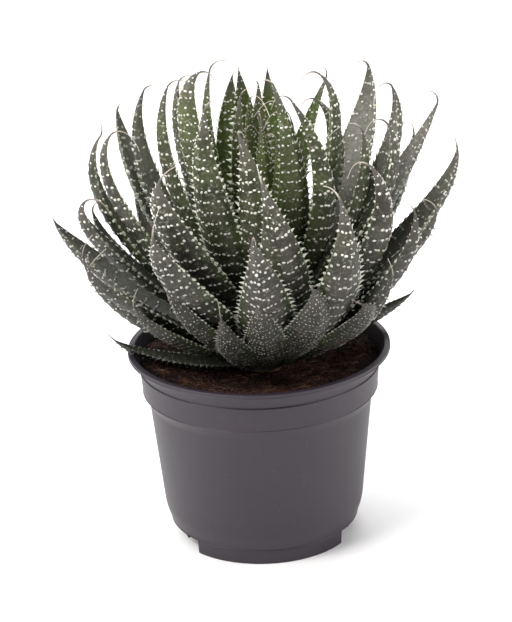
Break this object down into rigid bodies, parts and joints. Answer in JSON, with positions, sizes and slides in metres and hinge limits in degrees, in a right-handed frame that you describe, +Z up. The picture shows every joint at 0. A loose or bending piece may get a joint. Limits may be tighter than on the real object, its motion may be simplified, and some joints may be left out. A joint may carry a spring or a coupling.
{
  "type": "potted lace aloe",
  "caption": "Rosette of keeled, toothed, white-spotted succulent leaves with long curling awns, rooted on a short stem in soil in a plain round nursery pot.",
  "frame": {"origin": "centre of the pot's resting plane, on the pot's axis", "axes": "+Z up along the pot's axis, -Y towards the front of the picture, +X to its right"},
  "size_m": [0.1846, 0.1504, 0.2247],
  "materials": {
    "pot_plastic": "satin charcoal with a slight purple cast, faintly dusty",
    "soil_peat": "rough dark peat with reddish and tan coir fibres",
    "stem_fibre": "dull olive, fibrous",
    "leaf_skin": "satin brown-green skin with rows of raised white spots"
  },
  "bodies": {
    "root": {"crown_stem": "stem_fibre", "heart_leaf_01": "leaf_skin", "heart_leaf_02": "leaf_skin", "heart_leaf_03": "leaf_skin", "heart_leaf_04": "leaf_skin", "heart_leaf_05": "leaf_skin", "inner_leaf_01": "leaf_skin", "inner_leaf_02": "leaf_skin", "inner_leaf_03": "leaf_skin", "inner_leaf_04": "leaf_skin", "inner_leaf_05": "leaf_skin", "inner_leaf_06": "leaf_skin", "inner_leaf_07": "leaf_skin", "inner_leaf_08": "leaf_skin", "inner_leaf_09": "leaf_skin", "inner_leaf_10": "leaf_skin", "inner_leaf_11": "leaf_skin", "middle_leaf_01": "leaf_skin", "middle_leaf_02": "leaf_skin", "middle_leaf_03": "leaf_skin", "middle_leaf_04": "leaf_skin", "middle_leaf_05": "leaf_skin", "middle_leaf_06": "leaf_skin", "middle_leaf_07": "leaf_skin", "middle_leaf_08": "leaf_skin", "middle_leaf_09": "leaf_skin", "middle_leaf_10": "leaf_skin", "middle_leaf_11": "leaf_skin", "middle_leaf_12": "leaf_skin", "middle_leaf_13": "leaf_skin", "middle_leaf_14": "leaf_skin", "middle_leaf_15": "leaf_skin", "middle_leaf_16": "leaf_skin", "outer_leaf_01": "leaf_skin", "outer_leaf_02": "leaf_skin", "outer_leaf_03": "leaf_skin", "outer_leaf_04": "leaf_skin", "outer_leaf_05": "leaf_skin", "outer_leaf_06": "leaf_skin", "outer_leaf_07": "leaf_skin", "outer_leaf_08": "leaf_skin", "outer_leaf_09": "leaf_skin", "outer_leaf_10": "leaf_skin", "outer_leaf_11": "leaf_skin", "outer_leaf_12": "leaf_skin", "outer_leaf_13": "leaf_skin", "outer_leaf_14": "leaf_skin", "outer_leaf_15": "leaf_skin", "pot": "pot_plastic", "skirt_leaf_01": "leaf_skin", "skirt_leaf_02": "leaf_skin", "skirt_leaf_03": "leaf_skin", "skirt_leaf_04": "leaf_skin", "skirt_leaf_05": "leaf_skin", "skirt_leaf_06": "leaf_skin", "skirt_leaf_07": "leaf_skin", "skirt_leaf_08": "leaf_skin", "skirt_leaf_09": "leaf_skin", "skirt_leaf_10": "leaf_skin", "soil": "soil_peat"}
  },
  "joints": []
}
